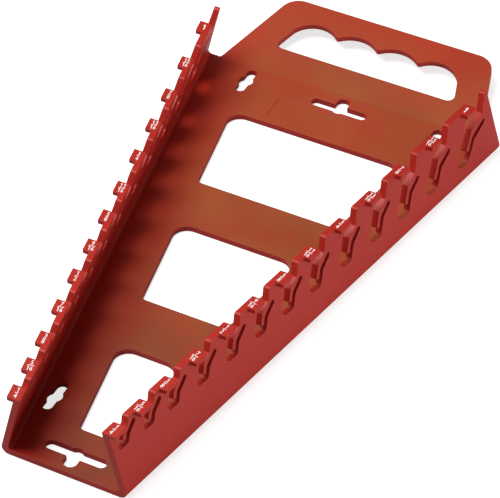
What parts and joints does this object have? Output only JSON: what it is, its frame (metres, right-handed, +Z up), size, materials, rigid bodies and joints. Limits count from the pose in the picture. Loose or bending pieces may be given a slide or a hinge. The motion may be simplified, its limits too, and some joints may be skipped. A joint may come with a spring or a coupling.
{
  "type": "wrench rack",
  "caption": "One-piece moulded plastic wrench rack: tapering tray with numbered J-notches and springing fingers in both walls, and a finger-scalloped carrying grip",
  "frame": {"origin": "middle of the underside of the rack's bounding box", "axes": "Z up from the bench, Y from the narrow end along the rack to the grip, X across the rack through its plane of symmetry"},
  "size_m": [0.1644, 0.3404, 0.0361],
  "materials": {
    "rack": "injection moulded red plastic, satin to glossy"
  },
  "bodies": {
    "root": {"rack": "rack"}
  },
  "joints": []
}
